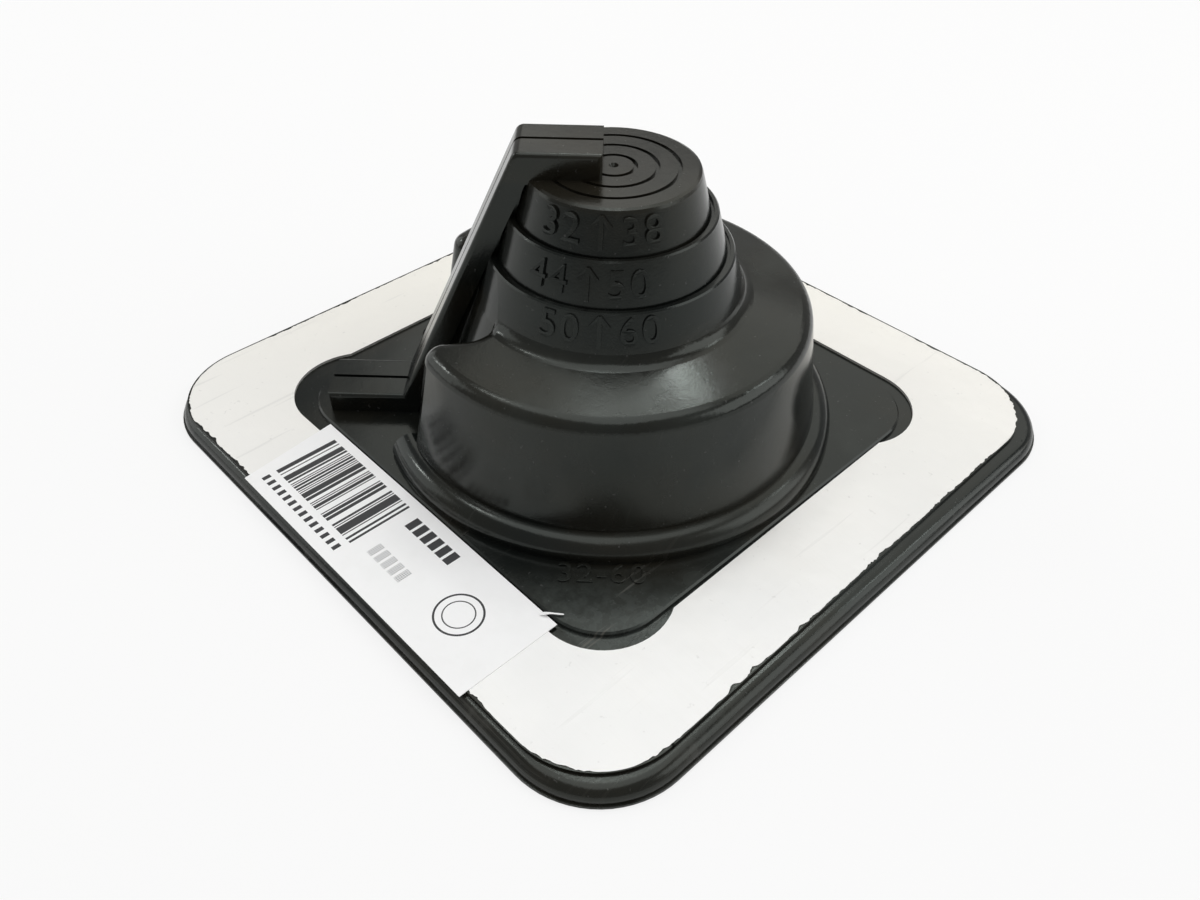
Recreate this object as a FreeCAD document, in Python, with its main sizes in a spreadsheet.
"""Pipe flashing boot with a split seam, for sealing a pipe through a metal roof.

Three separate pieces lie on one another:
  rubber_boot      one moulding: square flange, raised panel, drum, stepped cone, double seam rib
  aluminium_frame  soft sheet frame on the flange, fitted a little off centre
  paper_label      stock label stuck along one side of the frame

Frame: origin at the middle of the underside, +Z up, flange edges along X and Y.
The seam runs from the middle towards the corner at -X, -Y.  Millimetres and degrees.
"""

import FreeCAD, Part
import math
import os

import Sketcher
from FreeCAD import Placement, Rotation, Vector

HALF = 0.5
FULL_TURN = 360.0
NEAR = 0.02          # matching distance when an edge is looked up

# name, value, what it is
SIZES = (
    # flange
    ("flange_side", 140.0, "side of the square flange"),
    ("flange_corner", 18.0, "plan radius of the flange corners"),
    ("flange_thick", 3.2, "flange under the frame"),
    ("lip_thick", 0.5, "moulding flash lip at the foot of the rim"),
    ("lip_reach", 0.4, "how far the lip stands out of the rim"),
    ("rim_round", 2.3, "rounding of the rim's upper edge"),
    ("panel_side", 95.2, "side of the raised middle panel"),
    ("panel_corner", 12.5, "plan radius of the panel corners"),
    ("panel_rise", 1.0, "panel above the flange"),
    ("panel_edge", 0.35, "bevel of the panel's upper edge"),
    # sealing channels under the flange
    ("channel_inset", 4.5, "first channel from the flange edge"),
    ("channel_width", 2.4, "width of a sealing channel"),
    ("channel_depth", 0.9, "depth of a sealing channel"),
    ("channel_pitch", 4.6, "from one channel to the next"),
    # drum
    ("drum_foot_radius", 43.0, "drum wall where it meets the foot bead"),
    ("drum_foot_height", 8.6, "height of that ring"),
    ("drum_top_radius", 39.5, "drum wall at the shoulder edge"),
    ("drum_top_height", 31.0, "height of the shoulder edge before rounding"),
    ("shoulder_rise", 2.4, "shoulder slope from its edge to the cone"),
    ("shoulder_round", 3.0, "rounding of the shoulder edge"),
    ("cone_root_round", 3.0, "hollow rounding from shoulder to cone"),
    ("bead_radius", 3.6, "section radius of the foot bead"),
    ("bead_centre_radius", 43.3, "ring radius of the foot bead"),
    ("bead_centre_height", 5.0, "height of the bead's centre ring"),
    ("bead_gap", 48.8, "angle left free of the bead at the seam"),
    # stepped cone
    ("boot_height", 58.2, "top disc above the underside"),
    ("disc_radius", 16.1, "radius of the top disc"),
    ("disc_edge", 0.8, "soft edge of the disc"),
    ("upper_fall", 7.8, "height of the upper step"),
    ("upper_flare", 2.1, "how much the upper step widens downwards"),
    ("middle_fall", 8.0, "height of the middle step"),
    ("middle_flare", 2.3, "how much the middle step widens"),
    ("lower_flare", 2.6, "how much the lower step widens down to the shoulder"),
    ("ledge_width", 1.45, "ledge between two steps"),
    ("ledge_groove", 0.5, "width and depth of the cutting groove on a ledge"),
    ("ledge_edge", 0.3, "bevel of a ledge's outer edge"),
    # cutting rings on the disc
    ("ring_pitch", 4.0, "radius step of the cutting rings"),
    ("ring_width", 0.8, "width of a cutting ring"),
    ("ring_depth", 0.5, "depth of a cutting ring"),
    ("dimple_radius", 0.9, "centre mark"),
    # seam
    ("seam_bearing", 225.0, "direction of the seam seen from above"),
    ("notch_half", 16.8, "half width of the gap in the drum for the seam"),
    ("notch_inner_end", 21.0, "inner end of that gap from the axis"),
    ("notch_corner", 5.0, "plan radius of the gap's inner corners"),
    ("notch_reach", 52.0, "outer end of the cut that makes the gap"),
    ("notch_round", 3.5, "rounding of the drum's ends at the gap"),
    ("skirt_foot_radius", 37.2, "plain skirt in the gap where it meets the panel"),
    ("rib_half", 6.2, "half width over both ribs"),
    ("rib_height", 4.8, "ribs above the disc"),
    ("rib_base_height", 4.4, "ribs above the panel"),
    ("rib_thick", 4.2, "ribs measured square to the slope"),
    ("rib_inner_end", 1.9, "inner end of the ribs from the axis"),
    ("rib_shoulder", 17.3, "where the ribs turn from the disc to the slope"),
    ("rib_slope_foot", 42.6, "where the slope reaches the base run"),
    ("rib_outer_end", 58.3, "outer end of the ribs from the axis"),
    ("rib_corner", 1.8, "rounding of the turn from disc to slope"),
    ("rib_round", 0.9, "rounding of the ribs' long edges"),
    ("web_half", 4.7, "half width of the web that carries the ribs"),
    ("split_half", 0.4, "half the gap between the two ribs"),
    ("split_depth", 3.0, "depth of that gap"),
    # hollow inside
    ("wall", 2.2, "rubber wall all round"),
    # aluminium frame
    ("frame_side", 135.5, "outer side of the frame"),
    ("frame_corner", 17.0, "outer corner radius of the frame"),
    ("frame_thick", 0.6, "sheet thickness"),
    ("opening_gap", 0.15, "opening's straight side off the panel on the tight side"),
    ("opening_depth", 100.6, "opening along Y"),
    ("opening_corner", 13.0, "corner radius of the opening"),
    ("opening_ear", 1.6, "how far the opening's corners bulge past its sides"),
    ("frame_shift", 1.6, "frame off centre towards -X"),
    ("frame_turn", 0.5, "frame turned on the flange"),
    # paper label
    ("label_length", 69.4, "label along the side"),
    ("label_width", 21.0, "label across the frame"),
    ("label_thick", 0.15, "paper and glue"),
    ("label_gap", 0.35, "label's inner edge off the panel"),
    ("label_skew", 2.4, "slant of the label's cut end"),
    ("label_middle", 2.6, "label centre along the side"),
)

doc = FreeCAD.newDocument("PipeFlashingBoot")
sheet = doc.addObject("Spreadsheet::Sheet", "Sizes")
for row, (alias, number, meaning) in enumerate(SIZES, start=1):
    sheet.set("A%d" % row, alias)
    sheet.set("B%d" % row, "%.6g" % number)
    sheet.set("C%d" % row, meaning)
    sheet.setAlias("B%d" % row, alias)
doc.recompute()


class Size:
    """A length with its present value and the expression that ties it to the sheet."""

    def __init__(self, value, text):
        self.value = float(value)
        self.text = text

    @staticmethod
    def wrap(other):
        """Take a plain factor as a size of its own."""
        return other if isinstance(other, Size) else Size(other, repr(float(other)))

    def __add__(self, other):
        other = Size.wrap(other)
        return Size(self.value + other.value, "(%s + %s)" % (self.text, other.text))

    def __sub__(self, other):
        other = Size.wrap(other)
        return Size(self.value - other.value, "(%s - %s)" % (self.text, other.text))

    def __mul__(self, other):
        other = Size.wrap(other)
        return Size(self.value * other.value, "(%s * %s)" % (self.text, other.text))

    def __truediv__(self, other):
        other = Size.wrap(other)
        return Size(self.value / other.value, "(%s / %s)" % (self.text, other.text))

    def __neg__(self):
        return Size(-self.value, "(-%s)" % self.text)

    def root(self):
        """Square root."""
        return Size(self.value ** HALF, "sqrt(%s)" % self.text)

    def tangent(self):
        """Tangent of an angle in degrees."""
        return Size(math.tan(math.radians(self.value)), "tan(%s * 1deg)" % self.text)


def size(alias):
    """The sheet's value under this alias."""
    return Size(sheet.get(alias), "Sizes." + alias)


ZERO = Size(0.0, "0")


def tie(obj, prop, value):
    """Bind a property to the sheet."""
    obj.setExpression(prop, value.text)


def origin_item(body, role):
    """An origin plane or axis of this body, found by its role."""
    for item in body.Origin.OriginFeatures:
        if item.Role == role:
            return item
    raise LookupError(role)


def new_body(label):
    """An empty PartDesign body."""
    body = doc.addObject("PartDesign::Body", "Body_" + label)
    body.Label = label
    return body


def new_sketch(body, name, role, turned=False, lift=None):
    """A sketch on an origin plane; turned ones follow the seam's bearing."""
    sketch = body.newObject("Sketcher::SketchObject", name)
    sketch.AttachmentSupport = [(origin_item(body, role), "")]
    sketch.MapMode = "FlatFace"
    axis = Vector(0, 0, 1) if role == "XY_Plane" else Vector(0, 1, 0)
    angle = size("seam_bearing")
    if turned:
        sketch.AttachmentOffset = Placement(Vector(), Rotation(axis, angle.value))
        tie(sketch, ".AttachmentOffset.Rotation.Angle", angle)
    if lift is not None:
        tie(sketch, ".AttachmentOffset.Base.z", lift)
    return sketch


def place_point(sketch, geo, pos, across, up, mark):
    """Hold one end of a curve at a sheet-driven place."""
    for kind, value in (("DistanceX", across), ("DistanceY", up)):
        index = sketch.addConstraint(
            Sketcher.Constraint(kind, -1, 1, geo, pos, value.value))
        name = "%s%s" % (mark, kind[-1])
        sketch.renameConstraint(index, name)
        tie(sketch, "Constraints." + name, value)


def outline(sketch, points, mark="p"):
    """Closed outline of straight edges through sheet-driven corners."""
    count = len(points)
    first = sketch.GeometryCount
    for i, (across, up) in enumerate(points):
        nxt = points[(i + 1) % count]
        start = Vector(across.value, up.value, 0)
        end = Vector(nxt[0].value, nxt[1].value, 0)
        sketch.addGeometry(Part.LineSegment(start, end))
    for i in range(count):
        sketch.addConstraint(Sketcher.Constraint(
            "Coincident", first + i, 2, first + (i + 1) % count, 1))
    for i, (across, up) in enumerate(points):
        place_point(sketch, first + i, 1, across, up, "%s%d" % (mark, i))


def tie_radius(sketch, geo, radius, name):
    """Give an arc or circle its sheet-driven radius."""
    index = sketch.addConstraint(Sketcher.Constraint("Radius", geo, radius.value))
    sketch.renameConstraint(index, name)
    tie(sketch, "Constraints." + name, radius)


def rounded_square(sketch, width, depth, radius, ear=ZERO, mark="r"):
    """Rounded rectangle about the origin.

    With an ear the corner circles stand out past the two sides along Y, so that
    each corner ends in a small relief.
    """
    half_x = width * HALF
    half_y = depth * HALF
    centre_x = half_x + ear - radius
    centre_y = half_y - radius
    reach = half_x - centre_x
    drop = (radius * radius - reach * reach).root() if ear.value else ZERO
    side_y = centre_y - drop
    corners = []
    for sx, sy in ((1, 1), (-1, 1), (-1, -1), (1, -1)):
        side = (half_x * sx, side_y * sy)
        edge = (centre_x * sx, half_y * sy)
        corners.append((side, edge) if sx * sy > 0 else (edge, side))
    first = sketch.GeometryCount
    for i, (begin, finish) in enumerate(corners):
        sx, sy = ((1, 1), (-1, 1), (-1, -1), (1, -1))[i]
        middle = Vector(centre_x.value * sx, centre_y.value * sy, 0)
        begin_v = Vector(begin[0].value, begin[1].value, 0)
        finish_v = Vector(finish[0].value, finish[1].value, 0)
        circle = Part.Circle(middle, Vector(0, 0, 1), radius.value)
        arc = Part.ArcOfCircle(circle, circle.parameter(begin_v), circle.parameter(finish_v))
        sketch.addGeometry(arc)
        nxt = corners[(i + 1) % len(corners)][0]
        sketch.addGeometry(Part.LineSegment(finish_v, Vector(nxt[0].value, nxt[1].value, 0)))
    total = 2 * len(corners)
    for i in range(total):
        sketch.addConstraint(Sketcher.Constraint(
            "Coincident", first + i, 2, first + (i + 1) % total, 1))
    for i, (begin, finish) in enumerate(corners):
        place_point(sketch, first + 2 * i, 1, begin[0], begin[1], "%sa%d" % (mark, i))
        place_point(sketch, first + 2 * i, 2, finish[0], finish[1], "%sb%d" % (mark, i))
        tie_radius(sketch, first + 2 * i, radius, "%sr%d" % (mark, i))


def ring_section(sketch, across, up, radius, mark="c"):
    """A full circle as a section."""
    geo = sketch.addGeometry(Part.Circle(
        Vector(across.value, up.value, 0), Vector(0, 0, 1), radius.value))
    place_point(sketch, geo, 3, across, up, mark)
    tie_radius(sketch, geo, radius, mark + "r")


def pad(body, name, sketch, length, midplane=False):
    """Pad of a sheet-driven length."""
    feature = body.newObject("PartDesign::Pad", name)
    feature.Profile = sketch
    tie(feature, "Length", length)
    feature.Midplane = midplane
    doc.recompute()
    return feature


def turn(body, name, sketch, kind="Revolution", gap=None):
    """Revolution about the body's Z axis; Groove removes, a gap leaves an angle free."""
    feature = body.newObject("PartDesign::" + kind, name)
    feature.Profile = sketch
    feature.ReferenceAxis = (origin_item(body, "Z_Axis"), [""])
    feature.Angle = FULL_TURN
    if gap is not None:
        tie(feature, "Angle", Size.wrap(FULL_TURN) - gap)
        feature.Midplane = True
    doc.recompute()
    return feature


def cut_up(body, name, sketch, depth=None, midplane=False):
    """Pocket along the sketch's normal, or to both sides of it."""
    before = body.Shape.Volume
    feature = body.newObject("PartDesign::Pocket", name)
    feature.Profile = sketch
    feature.Midplane = midplane
    feature.Reversed = not midplane
    if depth is None:
        feature.Type = "ThroughAll"
    else:
        tie(feature, "Length", depth)
    doc.recompute()
    if not body.Shape.Volume < before:
        raise RuntimeError(name + " removed nothing")
    return feature


def edges_where(body, test):
    """Names of the tip's edges that pass a test on their middle point and shape."""
    found = []
    for number, edge in enumerate(body.Shape.Edges, start=1):
        if edge.Degenerated:
            continue
        if test(edge):
            found.append("Edge%d" % number)
    return found


def middle_of(edge):
    """Point half way along an edge."""
    first, last = edge.ParameterRange
    return edge.valueAt(HALF * (first + last))


def is_ring(edge, radius, height):
    """A circular edge about the Z axis with this radius and height."""
    curve = edge.Curve
    if not isinstance(curve, Part.Circle):
        return False
    on_axis = abs(curve.Center.x) < NEAR and abs(curve.Center.y) < NEAR
    return on_axis and abs(curve.Radius - radius) < NEAR and abs(curve.Center.z - height) < NEAR


def seam_frame(point):
    """A point as distance along the seam, across it, and height."""
    bearing = Rotation(Vector(0, 0, 1), -size("seam_bearing").value)
    return bearing.multVec(point)


def round_edges(body, name, radius, test, kind="Fillet"):
    """Fillet, or chamfer, of a sheet-driven size on the edges that pass the test."""
    names = edges_where(body, test)
    if not names:
        raise RuntimeError(name + " finds no edge")
    tip = body.Tip
    feature = body.newObject("PartDesign::" + kind, name)
    feature.Base = (tip, names)
    tie(feature, "Radius" if kind == "Fillet" else "Size", radius)
    doc.recompute()
    return feature


# ---------------------------------------------------------------- derived sizes
wall = size("wall")
flange_top = size("flange_thick")
panel_top = flange_top + size("panel_rise")
disc_top = size("boot_height")
upper_foot = disc_top - size("upper_fall")
middle_foot = upper_foot - size("middle_fall")
lower_foot = size("drum_top_height") + size("shoulder_rise")
upper_foot_r = size("disc_radius") + size("upper_flare")
middle_top_r = upper_foot_r + size("ledge_width")
middle_foot_r = middle_top_r + size("middle_flare")
lower_top_r = middle_foot_r + size("ledge_width")
lower_foot_r = lower_top_r + size("lower_flare")
drum_draft = (size("drum_foot_radius") - size("drum_top_radius")) / (
    size("drum_top_height") - size("drum_foot_height"))
skirt_draft = (size("skirt_foot_radius") - lower_foot_r) / (lower_foot - panel_top)

rib_top = disc_top + size("rib_height")
rib_base_top = panel_top + size("rib_base_height")
rib_draft = (size("rib_slope_foot") - size("rib_shoulder")) / (rib_top - rib_base_top)
rib_square = (rib_draft * rib_draft + 1.0).root()


def drum_at(height):
    """Outer radius of the drum wall at a height."""
    return size("drum_foot_radius") - drum_draft * (height - size("drum_foot_height"))


def skirt_at(height):
    """Outer radius of the plain skirt in the gap at a height."""
    return lower_foot_r + skirt_draft * (lower_foot - height)


def slope_at(height, depth=ZERO):
    """Distance of the ribs' sloping face from the axis, set in by a depth square to it."""
    return size("rib_shoulder") + rib_draft * (rib_top - height) - depth * rib_square


def slot(sketch, extra, mark="s"):
    """Plan of the gap in the drum: a slot with rounded inner corners, widened by extra."""
    half = size("notch_half") + extra
    inner = size("notch_inner_end") - extra
    radius = size("notch_corner") + extra
    far = size("notch_reach")
    nodes = ((inner, half - radius), (inner, -(half - radius)), (inner + radius, -half),
             (far, -half), (far, half), (inner + radius, half))
    spots = [Vector(a.value, b.value, 0) for a, b in nodes]
    first = sketch.GeometryCount
    sketch.addGeometry(Part.LineSegment(spots[0], spots[1]))
    low = Part.Circle(Vector(spots[2].x, spots[1].y, 0), Vector(0, 0, 1), radius.value)
    sketch.addGeometry(Part.ArcOfCircle(low, math.pi, 3 * math.pi * HALF))
    sketch.addGeometry(Part.LineSegment(spots[2], spots[3]))
    sketch.addGeometry(Part.LineSegment(spots[3], spots[4]))
    sketch.addGeometry(Part.LineSegment(spots[4], spots[5]))
    high = Part.Circle(Vector(spots[5].x, spots[0].y, 0), Vector(0, 0, 1), radius.value)
    sketch.addGeometry(Part.ArcOfCircle(high, math.pi * HALF, math.pi))
    for i in range(len(nodes)):
        nxt = first + (i + 1) % len(nodes)
        sketch.addConstraint(Sketcher.Constraint("Coincident", first + i, 2, nxt, 1))
    for i, (across, up) in enumerate(nodes):
        place_point(sketch, first + i, 1, across, up, "%s%d" % (mark, i))
    tie_radius(sketch, first + 1, radius, mark + "rl")
    tie_radius(sketch, first + 5, radius, mark + "rh")


# ---------------------------------------------------------------- rubber boot, outer form
boot = new_body("boot_form")

lip_sketch = new_sketch(boot, "LipPlan", "XY_Plane")
rounded_square(lip_sketch, size("flange_side"), size("flange_side"), size("flange_corner"))
pad(boot, "Lip", lip_sketch, size("lip_thick"))

rim_sketch = new_sketch(boot, "RimPlan", "XY_Plane")
rim_side = size("flange_side") - size("lip_reach") * 2
rounded_square(rim_sketch, rim_side, rim_side, size("flange_corner") - size("lip_reach"))
pad(boot, "Flange", rim_sketch, flange_top)
round_edges(boot, "RimRound", size("rim_round"),
            lambda edge: abs(middle_of(edge).z - flange_top.value) < NEAR)

panel_sketch = new_sketch(boot, "PanelPlan", "XY_Plane")
rounded_square(panel_sketch, size("panel_side"), size("panel_side"), size("panel_corner"))
pad(boot, "Panel", panel_sketch, panel_top)
round_edges(boot, "PanelEdge", size("panel_edge"),
            lambda edge: abs(middle_of(edge).z - panel_top.value) < NEAR, "Chamfer")

# drum with its sloping shoulder and the foot of the cone
drum_sketch = new_sketch(boot, "DrumSection", "XZ_Plane", turned=True)
sunk = flange_top * HALF
outline(drum_sketch, [
    (ZERO, middle_foot - size("ledge_edge")),
    (ZERO, sunk),
    (drum_at(sunk), sunk),
    (size("drum_top_radius"), size("drum_top_height")),
    (lower_foot_r, lower_foot),
    (lower_top_r, middle_foot - size("ledge_edge")),
])
turn(boot, "Drum", drum_sketch)
round_edges(boot, "ConeRootRound", size("cone_root_round"),
            lambda edge: is_ring(edge, lower_foot_r.value, lower_foot.value))

# gap for the seam, with the drum's ends rounded
gap_sketch = new_sketch(boot, "GapPlan", "XY_Plane", turned=True, lift=panel_top)
slot(gap_sketch, ZERO)
cut_up(boot, "Gap", gap_sketch)


def drum_end(edge):
    """Upright edge where the gap's side meets the drum wall."""
    spot = middle_of(edge)
    along = seam_frame(spot)
    on_side = abs(abs(along.y) - size("notch_half").value) < NEAR
    on_wall = abs(math.hypot(spot.x, spot.y) - drum_at(Size.wrap(spot.z)).value) < NEAR
    return on_side and on_wall and edge.Length > size("drum_top_height").value * HALF


round_edges(boot, "DrumEndRound", size("notch_round"), drum_end)
round_edges(boot, "ShoulderRound", size("shoulder_round"),
            lambda edge: is_ring(edge, size("drum_top_radius").value,
                                 size("drum_top_height").value))

# foot bead, stopping short of the seam
bead_sketch = new_sketch(boot, "BeadSection", "XZ_Plane", turned=True)
ring_section(bead_sketch, -size("bead_centre_radius"), size("bead_centre_height"),
             size("bead_radius"))
turn(boot, "FootBead", bead_sketch, gap=size("bead_gap"))


# stepped cone with its plain skirt
groove = size("ledge_groove")
bevel = size("ledge_edge")
soft = size("disc_edge")
SOFT_INNER = 0.3          # share of the soft edge left at its middle corner
core_sketch = new_sketch(boot, "ConeSection", "XZ_Plane", turned=True)
outline(core_sketch, [
    (ZERO, disc_top),
    (ZERO, sunk),
    (skirt_at(sunk), sunk),
    (lower_foot_r, lower_foot),
    (lower_top_r, middle_foot - bevel),
    (lower_top_r - bevel, middle_foot),
    (middle_foot_r + groove, middle_foot),
    (middle_foot_r + groove, middle_foot - groove),
    (middle_foot_r, middle_foot - groove),
    (middle_top_r, upper_foot - bevel),
    (middle_top_r - bevel, upper_foot),
    (upper_foot_r + groove, upper_foot),
    (upper_foot_r + groove, upper_foot - groove),
    (upper_foot_r, upper_foot - groove),
    (size("disc_radius"), disc_top - soft),
    (size("disc_radius") - soft * SOFT_INNER, disc_top - soft * SOFT_INNER),
    (size("disc_radius") - soft, disc_top),
])
turn(boot, "Cone", core_sketch)

# cutting rings and centre mark on the disc
rings_sketch = new_sketch(boot, "RingSection", "XZ_Plane", turned=True)
RINGS = 3
for ring in range(1, RINGS + 1):
    ring_in = size("ring_pitch") * ring - size("ring_width") * HALF
    ring_out = size("ring_pitch") * ring + size("ring_width") * HALF
    outline(rings_sketch, [
        (ring_in, disc_top - size("ring_depth")),
        (ring_out, disc_top - size("ring_depth")),
        (ring_out, disc_top + size("ring_depth")),
        (ring_in, disc_top + size("ring_depth")),
    ], "g%d" % ring)
outline(rings_sketch, [
    (ZERO, disc_top - size("dimple_radius")),
    (size("dimple_radius"), disc_top),
    (size("dimple_radius"), disc_top + size("ring_depth")),
    (ZERO, disc_top + size("ring_depth")),
], "d")
turn(boot, "Rings", rings_sketch, "Groove")

# sealing channels under the flange
channel_sketch = new_sketch(boot, "ChannelPlan", "XY_Plane")
CHANNELS = 3
for channel in range(CHANNELS):
    outer_in = size("channel_inset") + size("channel_pitch") * channel
    inner_in = outer_in + size("channel_width")
    for inset, mark in ((outer_in, "o%d" % channel), (inner_in, "i%d" % channel)):
        side = size("flange_side") - inset * 2
        rounded_square(channel_sketch, side, side, size("flange_corner") - inset * HALF,
                       mark=mark)
cut_up(boot, "Channels", channel_sketch, size("channel_depth"))

# ---------------------------------------------------------------- ribs and web along the seam
ribs = new_body("seam_ribs")
rib_sketch = new_sketch(ribs, "RibSide", "XZ_Plane", turned=True)
rib_sunk = disc_top - size("ring_depth") * 2
outline(rib_sketch, [
    (size("rib_inner_end"), rib_sunk),
    (size("rib_inner_end"), rib_top),
    (size("rib_shoulder"), rib_top),
    (size("rib_slope_foot"), rib_base_top),
    (size("rib_outer_end"), rib_base_top),
    (size("rib_outer_end"), sunk),
    (slope_at(sunk, size("rib_thick")), sunk),
    (slope_at(rib_sunk, size("rib_thick")), rib_sunk),
])
pad(ribs, "Ribs", rib_sketch, size("rib_half") * 2, midplane=True)


def rib_turn(edge):
    """Edge across the ribs where they turn from the disc to the slope."""
    spot = middle_of(edge)
    along = seam_frame(spot)
    return (abs(along.x - size("rib_shoulder").value) < NEAR
            and abs(along.z - rib_top.value) < NEAR and abs(along.y) < NEAR)


round_edges(ribs, "RibTurn", size("rib_corner"), rib_turn)


def rib_long(edge):
    """Edges along the top of the ribs and up their two ends."""
    spot = middle_of(edge)
    along = seam_frame(spot)
    at_side = abs(abs(along.y) - size("rib_half").value) < NEAR
    below = along.z < rib_sunk.value + NEAR and along.x < size("rib_shoulder").value
    inside = along.x < slope_at(Size.wrap(along.z), size("rib_thick") * HALF).value
    buried = along.z < sunk.value + NEAR
    on_slope = rib_sunk.value > along.z > rib_base_top.value
    return at_side and not below and not buried and not (inside and on_slope)


round_edges(ribs, "RibRound", size("rib_round"), rib_long)

web_sketch = new_sketch(ribs, "WebSide", "XZ_Plane", turned=True)
outline(web_sketch, [
    (size("disc_radius") * HALF, rib_sunk),
    (size("disc_radius") * HALF, sunk),
    (slope_at(sunk, size("rib_thick") * HALF), sunk),
    (slope_at(rib_sunk, size("rib_thick") * HALF), rib_sunk),
])
pad(ribs, "Web", web_sketch, size("web_half") * 2, midplane=True)

split_sketch = new_sketch(ribs, "SplitSide", "XZ_Plane", turned=True)
over = size("split_depth")
outline(split_sketch, [
    (size("rib_inner_end") - over, rib_top + over),
    (size("rib_inner_end") - over, rib_top - over),
    (slope_at(rib_top - over, over), rib_top - over),
    (slope_at(rib_base_top - over, over), rib_base_top - over),
    (size("rib_outer_end") + over, rib_base_top - over),
    (size("rib_outer_end") + over, rib_top + over),
])
cut_up(ribs, "Split", split_sketch, size("split_half") * 2, midplane=True)

# ---------------------------------------------------------------- hollow inside
hollow = new_body("hollow_form")
below = -size("wall")
drum_wall = size("wall") * (drum_draft * drum_draft + 1.0).root()
shoulder_slope = size("shoulder_rise") / (size("drum_top_radius") - lower_foot_r)
roof = size("drum_top_height") - size("wall") + shoulder_slope * drum_wall
hollow_drum = new_sketch(hollow, "DrumInside", "XZ_Plane", turned=True)
outline(hollow_drum, [
    (ZERO, lower_foot - size("wall")),
    (ZERO, below),
    (drum_at(below) - drum_wall, below),
    (drum_at(roof) - drum_wall, roof),
    (lower_foot_r, lower_foot - size("wall")),
])
turn(hollow, "DrumHollow", hollow_drum)
hollow_gap = new_sketch(hollow, "GapInside", "XY_Plane", turned=True, lift=below * 2)
slot(hollow_gap, size("wall"))
cut_up(hollow, "GapWall", hollow_gap)

cone_wall = size("wall") * (skirt_draft * skirt_draft + 1.0).root()
hollow_cone = new_sketch(hollow, "ConeInside", "XZ_Plane", turned=True)
outline(hollow_cone, [
    (ZERO, disc_top - wall),
    (ZERO, below),
    (skirt_at(below) - cone_wall, below),
    (lower_foot_r - cone_wall, lower_foot),
    (lower_top_r - wall, middle_foot - wall * HALF),
    (middle_foot_r - wall, middle_foot - wall * HALF),
    (middle_top_r - wall, upper_foot - wall * HALF),
    (upper_foot_r - wall, upper_foot - wall * HALF),
    (size("disc_radius") - wall, disc_top - wall),
])
turn(hollow, "ConeHollow", hollow_cone)

outer_form = doc.addObject("Part::MultiFuse", "OuterForm")
outer_form.Shapes = [boot, ribs]
outer_form.Refine = True
rubber = doc.addObject("Part::Cut", "RubberBoot")
rubber.Base = outer_form
rubber.Tool = hollow
rubber.Refine = True
rubber.Label = "rubber_boot"
rubber.Placement = Placement()
doc.recompute()

# ---------------------------------------------------------------- aluminium frame
frame = new_body("aluminium_frame")
frame_sketch = new_sketch(frame, "FramePlan", "XY_Plane")
rounded_square(frame_sketch, size("frame_side"), size("frame_side"), size("frame_corner"))
straight = size("opening_depth") * HALF - size("opening_corner")
opening_half = (size("panel_side") * HALF + size("frame_shift") + size("opening_gap")
                + size("frame_turn").tangent() * straight)
rounded_square(frame_sketch, opening_half * 2, size("opening_depth"),
               size("opening_corner"), ear=size("opening_ear"), mark="h")
pad(frame, "FrameSheet", frame_sketch, size("frame_thick"))
frame.Placement = Placement(Vector(-size("frame_shift").value, 0, flange_top.value),
                            Rotation(Vector(0, 0, 1), size("frame_turn").value))
tie(frame, ".Placement.Base.x", -size("frame_shift"))
tie(frame, ".Placement.Base.z", flange_top)
tie(frame, ".Placement.Rotation.Angle", size("frame_turn"))

# ---------------------------------------------------------------- paper label
label = new_body("paper_label")
label_sketch = new_sketch(label, "LabelPlan", "XY_Plane")
label_in = -(size("panel_side") * HALF + size("label_gap"))
label_out = label_in - size("label_width")
label_right = size("label_middle") + size("label_length") * HALF
label_left = size("label_middle") - size("label_length") * HALF
outline(label_sketch, [
    (label_left + size("label_skew") * HALF, label_out),
    (label_right, label_out),
    (label_right, label_in),
    (label_left - size("label_skew") * HALF, label_in),
])
pad(label, "LabelSheet", label_sketch, size("label_thick"))
label.Placement = Placement(Vector(0, 0, (flange_top + size("frame_thick")).value), Rotation())
tie(label, ".Placement.Base.z", flange_top + size("frame_thick"))
doc.recompute()

# ---------------------------------------------------------------- checks and files
for thing in doc.Objects:
    if "Invalid" in thing.State or "Error" in thing.State:
        raise RuntimeError("%s (%s) did not build: %s" % (thing.Name, thing.Label, thing.State))
    shape = getattr(thing, "Shape", None)
    if shape is not None and not thing.isDerivedFrom("App::OriginFeature"):
        if shape.isNull() or not shape.isValid():
            raise RuntimeError("%s (%s) has a faulty shape" % (thing.Name, thing.Label))

os.makedirs("parts", exist_ok=True)
for piece in (rubber, frame, label):
    if len(piece.Shape.Solids) != 1:
        raise RuntimeError("%s is %d solids" % (piece.Label, len(piece.Shape.Solids)))
    piece.Shape.exportStep(os.path.join("parts", piece.Label + ".step"))
    print("%s volume %.1f mm3" % (piece.Label, piece.Shape.Volume))
